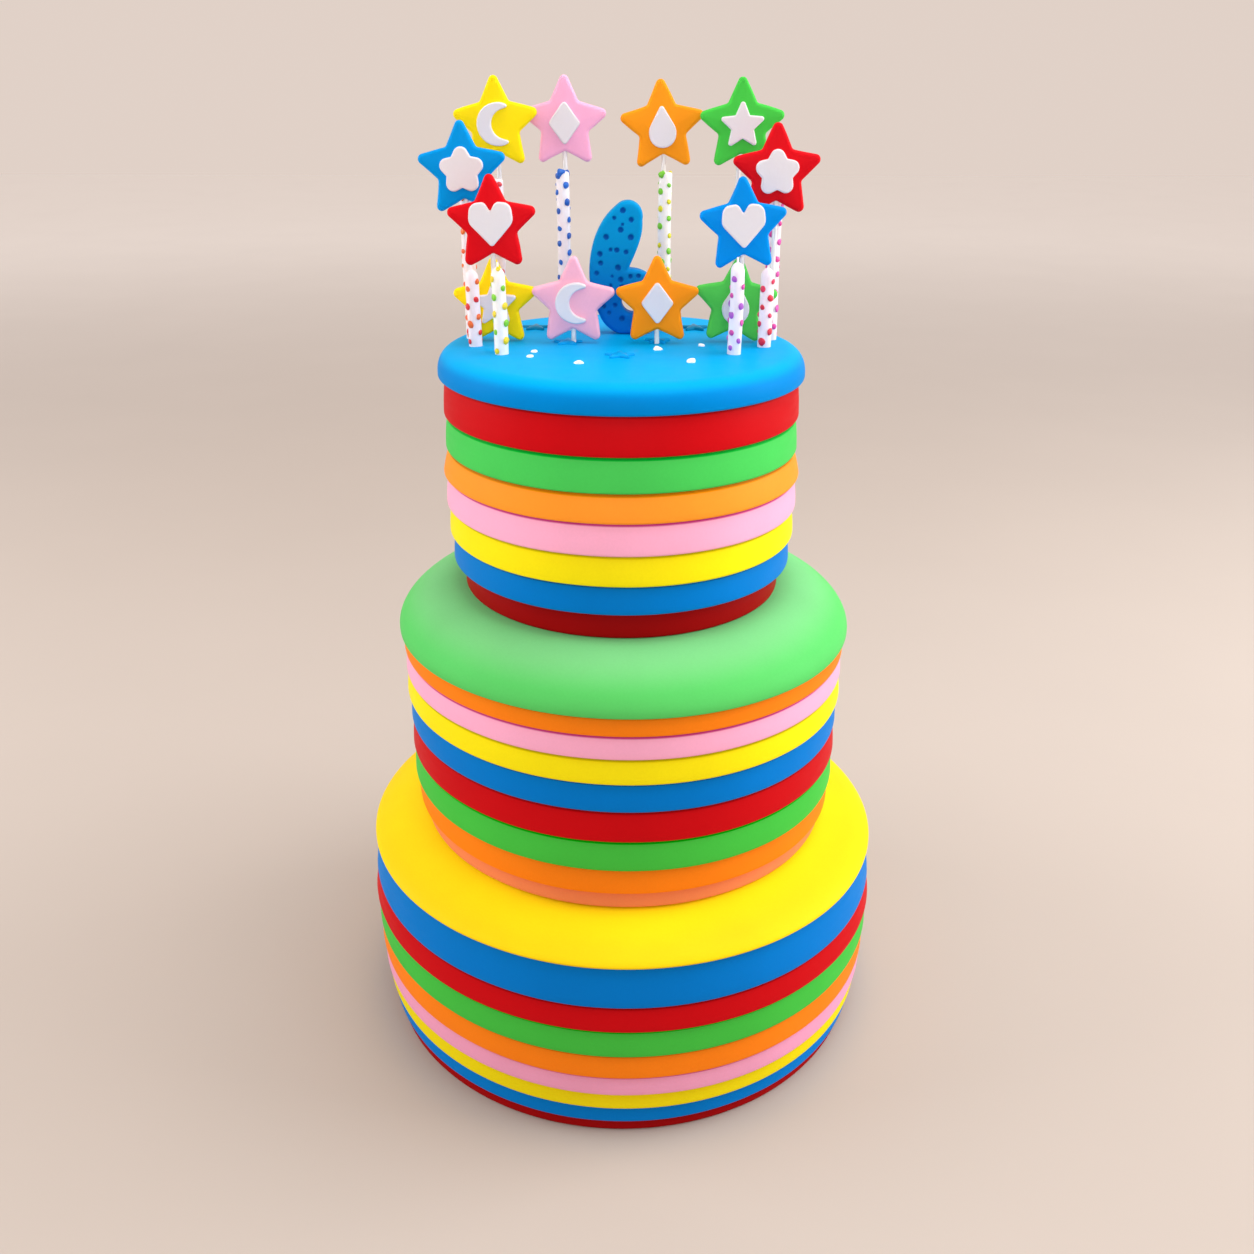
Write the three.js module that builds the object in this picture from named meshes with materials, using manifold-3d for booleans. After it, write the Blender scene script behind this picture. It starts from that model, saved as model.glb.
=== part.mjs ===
// A tall celebration cake: three round tiers wrapped in bands of coloured sugar paste, each under a
// rounded cap, with star picks, spotted candles and a big numeral on top.
// Millimetres, +Z up, the middle of the base at the origin, the front of the cake towards -Y.
import * as THREE from "three";
import { mergeVertices } from "three/addons/utils/BufferGeometryUtils.js";
import Module from "manifold-3d";

const wasm = await Module();
wasm.setup();

// Paste and wax colours.
const paste = {
  blue: 0x0b84d8,
  red: 0xd0121c,
  green: 0x4fb83f,
  orange: 0xff8a1c,
  pink: 0xf7a3c4,
  yellow: 0xf7de17,
  salmon: 0xf58a58,
  mint: 0x7ad884,
  sky: 0x14a4ec,
};
const wax = 0xf7f3f1;
const clearPlastic = 0xeef0f2;

// The tiers, top to bottom, each set a little off the axis, as stacked by hand. A band is
// [colour, radius of its lower edge, height]; heights are whole halves of a millimetre, so that
// each band lies exactly on the next one.
const tiers = [
  {
    name: "upper",
    segments: 32,
    offset: -0.4,
    cap: { colour: "sky", radius: 83.6, height: 12, shoulderWidth: 10, shoulderHeight: 10.5, fullness: 2.4 },
    bands: [
      ["red", 81.9, 17.5],
      ["green", 81.8, 15.5],
      ["orange", 83.4, 12.5],
      ["pink", 82.8, 14.5],
      ["yellow", 82.2, 14],
      ["blue", 81.0, 13.5],
      ["red", 76.0, 13],
    ],
  },
  {
    name: "middle",
    segments: 36,
    offset: 0.7,
    cap: { colour: "mint", radius: 110.6, height: 21.5, shoulderWidth: 30, shoulderHeight: 19.5, fullness: 1.7 },
    bands: [
      ["orange", 109.0, 9.5],
      ["pink", 108.8, 11.5],
      ["yellow", 109.0, 12.5],
      ["blue", 108.1, 14.5],
      ["red", 108.3, 15.5],
      ["green", 108.2, 15.5],
      ["orange", 106.8, 13.5],
      ["salmon", 103.8, 9.5],
    ],
  },
  {
    name: "lower",
    segments: 40,
    offset: 0.3,
    cap: { colour: "yellow", radius: 131.2, height: 13, shoulderWidth: 38, shoulderHeight: 11.8, fullness: 1.5 },
    bands: [
      ["blue", 132.0, 21.5],
      ["red", 133.3, 13],
      ["green", 132.8, 15],
      ["orange", 132.4, 13.5],
      ["pink", 131.7, 11],
      ["yellow", 130.3, 10],
      ["blue", 128.5, 10],
      ["red", 126.5, 7],
    ],
  },
];
const bandTuck = 1.2; // how far a band's upper edge tucks in under the band above
const bandEdge = 1.2; // rounding of a band's lower edge
const capEdge = 1.2; // rounding of a cap's lower edge
const shoulderSteps = 5;

// Star picks: a thick star with a raised white ornament, on a clear stick.
const starRadius = 19.3;
const starStretch = 1.036; // height over width, beside a regular star
const starWaist = 0.575; // inner radius over outer radius
const starTip = 2.1; // radius of the rounded tips
const starThickness = 4.4;
const starBevel = 1.3;
const ornamentSize = 8.9; // half the ornament's height
const ornamentRise = 2.2;
const stickRadius = 1.1;
const stickInStar = 6; // how far the stick reaches past the star's lower notch
// [colour, ornament, x, y, height of the star's middle over the cake, tilt and droop of the side
// arms in degrees, stick's x]
const topStars = [
  ["red", "heart", -55, -17, 53.9, 1.2, 2, -55.1],
  ["blue", "flower", -68.4, 0.8, 74.2, 1.4, 2.6, -67.2],
  ["yellow", "crescent", -56.5, 33, 91.4, 1.6, 4, -55.7],
  ["pink", "diamond", -25.8, 40, 91.7, 0, 6, -26],
  ["orange", "drop", 18.5, 40, 90.2, 3, 4.4, 19.5],
  ["green", "star", 54.1, 33, 91, 0.8, 5.4, 53.2],
  ["red", "flower", 67.2, 3.6, 73.3, 1.2, 2.6, 67.4],
  ["blue", "heart", 52.1, -12.5, 52.8, 2.8, 2.6, 52.3],
];
const lowStars = [
  ["yellow", "star", -57.3, 7.5, 17.1, 1.2, 2.6, -57.2],
  ["pink", "crescent", -21.7, 2.8, 18.3, -0.7, 3.2, -22],
  ["orange", "diamond", 16.1, 2.8, 18.4, 0.7, 3.2, 16.3],
  ["green", "drop", 51.9, 7.5, 17.4, -3, 2.6, 51.4],
];

// Candles: [x, y, height over the cake, length of the end]. The short ones are pointed, with a
// wick; the tall ones end bluntly.
const candleRadius = 3;
const wickRadius = 0.45;
const wickLength = 2.2;
const candles = [
  [-52.6, -22, 39.2, 6],
  [-66, -4.3, 35.6, 6],
  [64.7, -2.6, 36.3, 6],
  [49.8, -18.6, 40.8, 6],
  [-69, 13.2, 68.5, 1.2],
  [-56.7, 26.6, 68.8, 1.2],
  [-26.9, 33.6, 71.5, 1.2],
  [20.1, 34.8, 71.2, 1.2],
  [68.9, 14, 67.5, 1.2],
];
const socketDepth = 4; // candles and sticks stand in the cap this deep
const clearance = 0.3; // gap round a stick or candle in its socket

// Beads and flat little stars pressed on the cap, as [x, y, radius].
const beads = [
  [-38.7, -17.7, 1.6],
  [-39.6, -27.6, 1.7],
  [-18.2, -40, 2],
  [16.3, -11, 1.9],
  [36.4, -2.5, 1.7],
  [29.9, -36.6, 2],
];
const flatStars = [
  [-41.5, 38.2, 7],
  [35.2, 38.6, 7],
  [-24.6, 3.3, 7],
  [16.6, 7.4, 6],
  [-0.8, -24.6, 7],
];
const flatStarRise = 1.1;
const pressedIn = 1; // how deep the flat stars reach into the cap

// The numeral: a round bowl with a hole and a stem that leans over it.
const numeral = {
  x: 0.3,
  y: 27,
  thickness: 9,
  bevel: 1.8,
  bowl: { x: 3.5, z: 14.6, r: 15.2 },
  hole: { x: 5.2, z: 15.2, r: 5.4 },
  tip: { x: 2.6, z: 53, r: 6.8 },
  crotch: { x: 3.1, z: 30 },
};

const radians = THREE.MathUtils.degToRad;

function toSolid(geometry) {
  const bare = geometry.clone();
  bare.deleteAttribute("normal");
  bare.deleteAttribute("uv");
  const merged = mergeVertices(bare, 1e-4);
  return new wasm.Manifold(
    new wasm.Mesh({
      numProp: 3,
      vertProperties: merged.attributes.position.array,
      triVerts: new Uint32Array(merged.index.array),
    }),
  );
}

function toGeometry(solid) {
  const mesh = solid.getMesh();
  const geometry = new THREE.BufferGeometry();
  geometry.setAttribute("position", new THREE.BufferAttribute(mesh.vertProperties, 3));
  geometry.setIndex(new THREE.BufferAttribute(mesh.triVerts, 1));
  geometry.computeVertexNormals();
  return geometry;
}

function joined(geometry, additions, cuts) {
  let solid = toSolid(geometry);
  for (const addition of additions) solid = solid.add(toSolid(addition));
  for (const cut of cuts) solid = solid.subtract(toSolid(cut));
  return toGeometry(solid);
}

const cake = new THREE.Group();

function place(parent, name, geometry, colour, roughness, x = 0, y = 0, z = 0) {
  const material = new THREE.MeshStandardMaterial({ color: colour, roughness, metalness: 0 });
  const mesh = new THREE.Mesh(geometry, material);
  mesh.name = name;
  mesh.position.set(x, y, z);
  parent.add(mesh);
  return mesh;
}

// A turned piece from its half outline, [radius, height] pairs from the axis round to the axis.
function turned(outline, segments) {
  const points = outline.map(([r, h]) => new THREE.Vector2(r, h));
  return new THREE.LatheGeometry(points, segments).rotateX(Math.PI / 2);
}

function upright(radius, low, high, sides, x, y) {
  const geometry = new THREE.CylinderGeometry(radius, radius, high - low, sides);
  return geometry.rotateX(Math.PI / 2).translate(x, y, (low + high) / 2);
}

function bandGeometry(lowRadius, topRadius, height, segments) {
  const outline = [
    [0, 0],
    [lowRadius - bandEdge * 0.7, 0],
    [lowRadius, bandEdge],
    [topRadius, height],
    [0, height],
  ];
  return turned(outline, segments);
}

function capGeometry({ radius, height, shoulderWidth, shoulderHeight, fullness }, segments) {
  const outline = [
    [0, 0],
    [radius - capEdge, 0],
    [radius - capEdge * 0.3, capEdge * 0.3],
    [radius, capEdge],
  ];
  for (let i = 0; i <= shoulderSteps; i++) {
    const turn = (i / shoulderSteps) * (Math.PI / 2);
    const across = i === shoulderSteps ? 0 : Math.cos(turn) ** (2 / fullness);
    outline.push([
      radius - shoulderWidth * (1 - across),
      height - shoulderHeight * (1 - Math.sin(turn) ** (2 / fullness)),
    ]);
  }
  outline.push([0, height]);
  const flatSpot = 1e-6; // a shoulder that starts right at the edge would double that point
  const clean = outline.filter(
    ([r, h], i) => i === 0 || Math.hypot(r - outline[i - 1][0], h - outline[i - 1][1]) > flatSpot,
  );
  return turned(clean, segments);
}

// A star's outline with round tips, middle at the origin; its side arms can droop by some degrees.
function starShape(outer, waist, tip, pointsPerTip, droop = 0) {
  const shape = new THREE.Shape();
  const inner = outer * waist;
  const half = Math.PI / 5;
  const reach = Math.sin(half) * inner;
  const edgeTurn = Math.atan2(reach, outer - inner * Math.cos(half)); // half the angle at a tip
  const tipMiddle = outer - tip;
  for (let k = 0; k < 5; k++) {
    const corner = Math.PI / 2 + 2 * half * k;
    const turn = corner + radians(droop) * [0, 1, 0, 0, -1][k];
    for (let i = 0; i < pointsPerTip; i++) {
      const swing = (Math.PI / 2 - edgeTurn) * ((2 * i) / (pointsPerTip - 1) - 1);
      const x = tipMiddle * Math.cos(turn) + tip * Math.cos(turn + swing);
      const y = tipMiddle * Math.sin(turn) + tip * Math.sin(turn + swing);
      if (k === 0 && i === 0) shape.moveTo(x, y);
      else shape.lineTo(x, y);
    }
    shape.lineTo(inner * Math.cos(corner + half), inner * Math.sin(corner + half));
  }
  return shape;
}

// An outline from a formula that gives [x, y] at each turn round it.
function shapeFrom(steps, pointAt) {
  const points = [];
  for (let i = 0; i < steps; i++) {
    const [x, y] = pointAt((2 * Math.PI * i) / steps);
    points.push(new THREE.Vector2(x, y));
  }
  return new THREE.Shape(points);
}

// The raised white ornaments, each about two ornamentSize high.
const ornaments = {
  heart: (s) =>
    shapeFrom(20, (t) => [
      s * 0.95 * Math.sin(t) ** 3,
      (s / 16) * (13 * Math.cos(t) - 5 * Math.cos(2 * t) - 2 * Math.cos(3 * t) - Math.cos(4 * t) + 2.5),
    ]),
  flower: (s) =>
    shapeFrom(30, (t) => {
      const r = s * (0.82 + 0.18 * Math.cos(5 * t));
      return [r * Math.sin(t), r * Math.cos(t)];
    }),
  drop: (s) =>
    shapeFrom(18, (t) => [s * 0.95 * Math.sin(t) * Math.sin(t / 2) ** 1.5, s * Math.cos(t)]),
  diamond: (s) =>
    shapeFrom(16, (t) => [
      s * 0.78 * Math.sign(Math.sin(t)) * Math.abs(Math.sin(t)) ** 1.5,
      s * Math.sign(Math.cos(t)) * Math.abs(Math.cos(t)) ** 1.5,
    ]),
  crescent: (s) =>
    shapeFrom(20, (t) => {
      const bite = t > Math.PI;
      const swing = bite ? 3 * Math.PI - t * 2 : t * 2 - Math.PI;
      const reach = swing * 0.75 + Math.PI;
      return bite
        ? [s * (0.16 + 0.66 * Math.cos(swing * 0.8 + Math.PI)), s * 0.71 * Math.sin(swing * 0.8 + Math.PI)]
        : [s * (0.1 + 0.95 * Math.cos(reach)), s * 0.98 * Math.sin(reach)];
    }),
  star: (s) => starShape(s * 1.1, 0.5, 0.8, 3),
};

function slab(shape, thickness, bevel, curveSegments = 8) {
  const geometry = new THREE.ExtrudeGeometry(shape, {
    depth: thickness - 2 * bevel,
    bevelEnabled: bevel > 0,
    bevelThickness: bevel,
    bevelSize: bevel * 0.8,
    bevelOffset: -bevel * 0.8,
    bevelSegments: 1,
    curveSegments,
  });
  geometry.translate(0, 0, bevel - thickness / 2); // middle of the thickness at zero
  return geometry.rotateX(Math.PI / 2); // upright, its face towards -Y
}

function starGeometry(ornament, tilt, droop, stickOffset) {
  const body = slab(starShape(starRadius, starWaist, starTip, 3, droop), starThickness, starBevel);
  body.scale(1, 1, starStretch);
  const raised = slab(ornaments[ornament](ornamentSize), ornamentRise * 2, 0);
  raised.translate(0, -starThickness / 2, 0);
  body.rotateY(-radians(tilt));
  raised.rotateY(-radians(tilt));
  const notch = -starRadius * starWaist * starStretch;
  const socket = upright(
    stickRadius + clearance,
    notch - starRadius,
    notch + stickInStar + clearance,
    8,
    stickOffset,
    0,
  );
  return joined(body, [raised], [socket]);
}

function candleGeometry(height, taper) {
  const outline = [
    [0, 0],
    [candleRadius, 0],
    [candleRadius, height - taper],
  ];
  if (taper > wickLength) {
    const point = height - wickLength;
    outline.push([candleRadius * 0.72, point - (taper - wickLength) * 0.4]);
    outline.push([wickRadius, point], [wickRadius, height]);
  } else {
    outline.push([candleRadius * 0.7, height]);
  }
  outline.push([0, height]);
  return turned(outline, 10);
}

function numeralGeometry() {
  const { bowl, hole, tip, crotch } = numeral;
  const flat = Math.asin(bowl.z / bowl.r); // the bowl is cut level where it meets the cake
  const stemFoot = radians(205);
  const shape = new THREE.Shape();
  shape.absarc(bowl.x, bowl.z, bowl.r, radians(88), -flat, true);
  shape.absarc(bowl.x, bowl.z, bowl.r, flat - Math.PI, stemFoot - 2 * Math.PI, true);
  shape.bezierCurveTo(-18.3, 22.5, -17.1, 46, tip.x + tip.r * Math.cos(radians(137)), tip.z + 4.6);
  shape.absarc(tip.x, tip.z, tip.r, radians(137), radians(-15), true);
  shape.bezierCurveTo(9.8, 45, 6.5, 37, crotch.x, crotch.z);
  const opening = new THREE.Path();
  opening.absarc(hole.x, hole.z, hole.r, 0, 2 * Math.PI, false);
  shape.holes.push(opening);
  return slab(shape, numeral.thickness, numeral.bevel, 7);
}

function flatStarGeometry(radius) {
  const depth = flatStarRise + pressedIn;
  return new THREE.ExtrudeGeometry(starShape(radius, 0.5, radius * 0.12, 3), {
    depth,
    bevelEnabled: false,
  });
}

// Everything that stands on the cake, as [x, y, radius] for the sockets.
const standing = [
  ...[...topStars, ...lowStars].map((star) => [star[7], star[3], stickRadius]),
  ...candles.map(([x, y]) => [x, y, candleRadius]),
];

function decoratedCap(cap, segments) {
  const additions = [];
  for (const [x, y, radius] of beads) {
    const bead = new THREE.SphereGeometry(radius, 7, 4).rotateX(Math.PI / 2);
    additions.push(bead.translate(x, y, cap.height));
  }
  for (const [x, y, radius] of flatStars) {
    additions.push(flatStarGeometry(radius).translate(x, y, cap.height - pressedIn));
  }
  const cuts = standing.map(([x, y, radius]) =>
    upright(radius + clearance, cap.height - socketDepth, cap.height * 2, 8, x, y),
  );
  return joined(capGeometry(cap, segments), additions, cuts);
}

let top = 0;
for (const tier of tiers) {
  for (const band of tier.bands) top += band[2];
  top += tier.cap.height;
}
const cakeTop = top;

let level = cakeTop;
for (const { name, segments, offset, cap, bands } of tiers) {
  const tier = new THREE.Group();
  tier.position.x = offset;
  cake.add(tier);
  level -= cap.height;
  const capShape = name === "upper" ? decoratedCap(cap, segments) : capGeometry(cap, segments);
  place(tier, `${name}_cap_${cap.colour}`, capShape, paste[cap.colour], 0.45, 0, 0, level);
  let above = cap.radius - capEdge;
  bands.forEach(([colour, radius, height], i) => {
    level -= height;
    const tucked = Math.min(above, radius) - bandTuck;
    const shape = bandGeometry(radius, tucked, height, segments);
    place(tier, `${name}_band_${i + 1}_${colour}`, shape, paste[colour], 0.45, 0, 0, level);
    above = radius;
  });
}

const toppers = new THREE.Group();
toppers.position.set(tiers[0].offset, 0, cakeTop);
cake.add(toppers);
for (const [row, stars] of [["top", topStars], ["low", lowStars]]) {
  stars.forEach(([colour, ornament, x, y, height, tilt, droop, stickX], i) => {
    const label = `${row}_${i + 1}`;
    const shape = starGeometry(ornament, tilt, droop, stickX - x);
    place(toppers, `star_${label}_${colour}`, shape, paste[colour], 0.4, x, y, height);
    const stickTop = height - starRadius * starWaist * starStretch + stickInStar;
    const stick = upright(stickRadius, -socketDepth, stickTop, 8, stickX, y);
    place(toppers, `stick_${label}`, stick, clearPlastic, 0.15);
  });
}
candles.forEach(([x, y, height, taper], i) => {
  const shape = candleGeometry(height + socketDepth, taper);
  place(toppers, `candle_${i + 1}`, shape, wax, 0.4, x, y, -socketDepth);
});
place(toppers, "numeral_six", numeralGeometry(), paste.blue, 0.45, numeral.x, numeral.y, 0);

export default cake;
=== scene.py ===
import math
import random

import bmesh
import bpy
from mathutils import Matrix, Vector, noise


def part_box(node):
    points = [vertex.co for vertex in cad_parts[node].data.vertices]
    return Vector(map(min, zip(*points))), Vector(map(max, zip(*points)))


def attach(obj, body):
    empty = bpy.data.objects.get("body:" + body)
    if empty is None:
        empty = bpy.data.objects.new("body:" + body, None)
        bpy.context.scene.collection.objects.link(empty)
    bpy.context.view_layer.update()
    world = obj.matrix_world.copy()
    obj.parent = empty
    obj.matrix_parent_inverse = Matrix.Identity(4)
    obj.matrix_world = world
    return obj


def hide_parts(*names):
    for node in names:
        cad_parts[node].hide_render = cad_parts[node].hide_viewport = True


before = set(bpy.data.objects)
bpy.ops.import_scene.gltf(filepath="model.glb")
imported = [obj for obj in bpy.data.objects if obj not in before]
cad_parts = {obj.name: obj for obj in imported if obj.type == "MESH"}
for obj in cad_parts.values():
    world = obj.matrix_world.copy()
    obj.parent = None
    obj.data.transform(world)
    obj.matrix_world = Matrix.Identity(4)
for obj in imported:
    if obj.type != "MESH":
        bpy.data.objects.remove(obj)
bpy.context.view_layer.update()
scene = bpy.context.scene
mm = 0.001
noise.seed_set(6)  # without a seed its vectors follow the clock
print("frame loaded:", len(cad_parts), "solids")

# camera
camera = {
    "place": (0.0, -0.5505, 0.461),
    "down": 0.4303,  # radians below level
    "turn": 0.0043,
    "roll": 0.002,
    "lens": 34.45,
    "sensor": 36.0,
}


def makeCamera(look):
    data = bpy.data.cameras.new("camera")
    data.lens = look["lens"]
    data.sensor_width = look["sensor"]
    data.clip_start = 0.02
    data.clip_end = 60
    obj = bpy.data.objects.new("camera", data)
    scene.collection.objects.link(obj)
    down, turn, roll = look["down"], look["turn"], look["roll"]
    forward = Vector((
        math.sin(turn) * math.cos(down),
        math.cos(turn) * math.cos(down),
        -math.sin(down),
    ))
    level = Vector((math.cos(turn), -math.sin(turn), 0))
    above = level.cross(forward)
    right = level * math.cos(roll) + above * math.sin(roll)
    up = right.cross(forward)
    axes = Matrix((right, up, -forward)).transposed()
    obj.matrix_world = Matrix.Translation(look["place"]) @ axes.to_4x4()
    scene.camera = obj


makeCamera(camera)
scene.view_settings.view_transform = "Standard"

# small helpers


def paint(colour):
    # 0 to 255 as on a screen, turned into the linear values that nodes want
    linear = []
    for value in colour:
        v = value / 255
        linear.append(v / 12.92 if v <= 0.04045 else ((v + 0.055) / 1.055) ** 2.4)
    return (*linear, 1)


def feed(node, values):
    # what goes into each input: a value, or a socket to link from
    for key, value in values.items():
        if isinstance(value, bpy.types.NodeSocket):
            node.id_data.links.new(value, node.inputs[key])
        else:
            node.inputs[key].default_value = value


def addNode(tree, kind, values=None, **settings):
    node = tree.nodes.new(kind)
    for key, value in settings.items():
        setattr(node, key, value)
    feed(node, values or {})
    return node


def newGroup(name, kind, takes, gives):
    # a node group with its two ends; each socket is given by its kind, or by its first number
    tree = bpy.data.node_groups.new(name, kind)
    for side, sockets in (("INPUT", takes), ("OUTPUT", gives)):
        for label, value in sockets.items():
            if isinstance(value, str):
                tree.interface.new_socket(label, in_out=side, socket_type="NodeSocket" + value)
            else:
                sort = "NodeSocketInt" if isinstance(value, int) else "NodeSocketFloat"
                tree.interface.new_socket(label, in_out=side, socket_type=sort).default_value = value
    return tree, addNode(tree, "NodeGroupInput").outputs, addNode(tree, "NodeGroupOutput")


def newMaterial(name):
    material = bpy.data.materials.new(name)
    material.use_nodes = True
    tree = material.node_tree
    return material, tree, tree.nodes["Principled BSDF"]


def maths(operation, *terms, clamp=False):
    tree = next(term.id_data for term in terms if isinstance(term, bpy.types.NodeSocket))
    node = addNode(tree, "ShaderNodeMath", dict(enumerate(terms)), operation=operation, use_clamp=clamp)
    return node.outputs[0]


def plus(first, second):
    return maths("ADD", first, second)


def minus(first, second):
    return maths("SUBTRACT", first, second)


def times(first, second):
    return maths("MULTIPLY", first, second)


def vectors(operation, first, second=None):
    # a scaling takes a number second, the rest take a vector or nothing
    values = {0: first}
    if second is not None:
        values["Scale" if operation == "SCALE" else 1] = second
    node = addNode(first.id_data, "ShaderNodeVectorMath", values, operation=operation)
    return node.outputs["Value" if operation == "LENGTH" else "Vector"]


def apart(vector):
    return addNode(vector.id_data, "ShaderNodeSeparateXYZ", {"Vector": vector}).outputs


def together(tree, **values):
    return addNode(tree, "ShaderNodeCombineXYZ", values).outputs["Vector"]


def mixColours(factor, first, second):
    # a mix node's colours are its inputs 6 and 7 and its output 2
    values = {0: factor, 6: first, 7: second}
    return addNode(factor.id_data, "ShaderNodeMix", values, data_type="RGBA").outputs[2]


def smoothStep(value, start, end):
    values = {"Value": value, "From Min": start, "From Max": end}
    node = addNode(value.id_data, "ShaderNodeMapRange", values, interpolation_type="SMOOTHSTEP")
    return node.outputs["Result"]


def objectPlace(tree):
    return addNode(tree, "ShaderNodeTexCoord").outputs["Object"]


def noiseAt(place, scale, detail):
    values = {"Vector": place, "Scale": scale, "Detail": detail}
    return addNode(place.id_data, "ShaderNodeTexNoise", values).outputs["Fac"]


def passOn(geometry, kind, **values):
    # takes geometry through one more node
    values["Geometry"] = geometry
    return addNode(geometry.id_data, "GeometryNode" + kind, values).outputs["Geometry"]


def linkObject(name, mesh):
    obj = bpy.data.objects.new(name, mesh)
    scene.collection.objects.link(obj)
    return obj


def evaluated(obj):
    # the object's mesh with its modifiers applied
    graph = bpy.context.evaluated_depsgraph_get()
    return bpy.data.meshes.new_from_object(obj.evaluated_get(graph))


def grow(name, mesh, tree, values):
    # runs a node tree over a mesh and keeps the result as a plain mesh
    source = linkObject(name + "Source", mesh)
    modifier = source.modifiers.new(tree.name, "NODES")
    modifier.node_group = tree
    for item in tree.interface.items_tree:  # a modifier input goes by its socket's identifier
        if item.in_out == "INPUT" and item.name in values:
            modifier[item.identifier] = values[item.name]
    result = evaluated(source)
    bpy.data.objects.remove(source)
    result.name = name
    return linkObject(name, result)


def meshFrom(build, name, material=None):
    mesh = bpy.data.meshes.new(name)
    build.to_mesh(mesh)
    build.free()
    if material:
        mesh.materials.append(material)
    return mesh


def finishPiece(obj, slotName, *nodes):
    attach(obj, "root")
    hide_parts(*nodes)


def smooth(mesh):
    for polygon in mesh.polygons:
        polygon.use_smooth = True


# sugar paste
pasteColours = {
    "blue": (0, 121, 207),
    "red": (197, 10, 19),
    # painted shade: a deeper red, darker still for the shade at the foot of a tier
    "deepShadedRed": (158, 8, 12),
    "green": (68, 192, 68),
    # painted light: the green lighter where more light falls on the upper tier
    "litGreen": (72, 200, 89),
    "orange": (248, 131, 23),
    # painted light: the orange lighter where more light falls on the upper tier
    "litOrange": (248, 151, 46),
    "pink": (248, 175, 208),
    # painted shade: the pink darker under the overhang
    "shadedPink": (235, 159, 193),
    "yellow": (245, 230, 19),
    # painted shade: the yellow darker under the overhang
    "shadedYellow": (234, 218, 15),
    "salmon": (237, 136, 91),
}
# layers whose paste is a lighter or darker copy of its colour: painted light on the upper green and
# orange, painted shade at the foot of the tiers (the deep red is also a deeper red in itself); the lower
# cap's own paste has painted light on top
ownPaste = {
    "upper_band_2_green": "litGreen",
    "upper_band_3_orange": "litOrange",
    "upper_band_7_red": "deepShadedRed",
    "lower_cap_yellow": "capYellow",
    "lower_band_5_pink": "shadedPink",
    "lower_band_6_yellow": "shadedYellow",
    "lower_band_8_red": "deepShadedRed",
}
pasteLook = {
    "roughness": 0.46,
    "mottle": 0.05,
    "grain": 0.35,
    "shine": 0.05,
    "subsurface": 0.06,
    "depth": 1.5 * mm,
    # the rest is the same for every paste
    "cloudScale": 26,
    "speckleScale": 900,
    "speckleShare": 0.45,
    "markScale": 70,
    "markStretch": 5,  # smoothing marks run round the cake
    "markRoughness": 0.22,
    "mottleGain": 3.0,
    # painted shade in the crease under the layer above: how much darker, and how much fuller
    "paintedShadeDepth": 0.45,
    "paintedShadeFullness": 0.7,
    "markRelief": 0.8,
    "speckleRelief": 0.35,
    "reliefDepth": 0.22 * mm,
}


def makePasteGroup(look):
    # colour mottle, a fine icing grain, faint smoothing marks, and painted shade in the crease under the
    # layer above
    tree, given, made = newGroup(
        "sugarPaste", "ShaderNodeTree",
        {"Paste Colour": "Color", "Mottle": 0.05, "Base Roughness": 0.45, "Grain": 0.3},
        {"Colour": "Color", "Roughness": "Float", "Normal": "Vector"},
    )
    place = objectPlace(tree)
    clouds = noiseAt(place, look["cloudScale"], 3)
    speckle = noiseAt(place, look["speckleScale"], 2)
    stretch = addNode(tree, "ShaderNodeMapping", {"Vector": place, "Scale": (1, 1, look["markStretch"])})
    marks = noiseAt(stretch.outputs["Vector"], look["markScale"], 4)
    # value shift from the clouds and the speckle
    drift = plus(minus(clouds, 0.5), times(minus(speckle, 0.5), look["speckleShare"]))
    value = maths("MULTIPLY_ADD", times(drift, given["Mottle"]), look["mottleGain"], 1.0)
    # painted shade: darker and fuller in the crease under the layer above, where shade falls
    paintedShade = addNode(tree, "ShaderNodeAttribute", attribute_name="paintedShade").outputs["Fac"]
    shade = maths("MULTIPLY_ADD", paintedShade, -look["paintedShadeDepth"], 1.0)
    tint = addNode(tree, "ShaderNodeHueSaturation", {
        "Saturation": maths("MULTIPLY_ADD", paintedShade, look["paintedShadeFullness"], 1.0),
        "Value": times(value, shade),
        "Color": given["Paste Colour"],
    })
    # roughness wanders with the smoothing marks
    rough = times(minus(marks, 0.5), look["markRoughness"])
    relief = plus(times(marks, look["markRelief"]), times(speckle, look["speckleRelief"]))
    bump = addNode(tree, "ShaderNodeBump", {
        "Distance": look["reliefDepth"], "Strength": given["Grain"], "Height": relief,
    })
    feed(made, {
        "Colour": tint.outputs["Color"],
        "Roughness": plus(rough, given["Base Roughness"]),
        "Normal": bump.outputs["Normal"],
    })
    return tree


pasteGroup = makePasteGroup(pasteLook)


def makePaste(name, colour, **changes):
    # changes are what this paste has instead of pasteLook's own values
    look = {**pasteLook, **changes}
    material, tree, shader = newMaterial(name)
    group = addNode(tree, "ShaderNodeGroup", {
        "Paste Colour": paint(colour), "Mottle": look["mottle"],
        "Base Roughness": look["roughness"], "Grain": look["grain"],
    }, name="paste", node_tree=pasteGroup)
    feed(shader, {
        "Base Color": group.outputs["Colour"],
        "Roughness": group.outputs["Roughness"],
        "Normal": group.outputs["Normal"],
        "Subsurface Weight": look["subsurface"],
        "Subsurface Radius": (1.0, 0.6, 0.4),
        "Subsurface Scale": look["depth"],
        "IOR": 1.45,
        "Specular IOR Level": look["shine"],
    })
    return material


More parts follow.
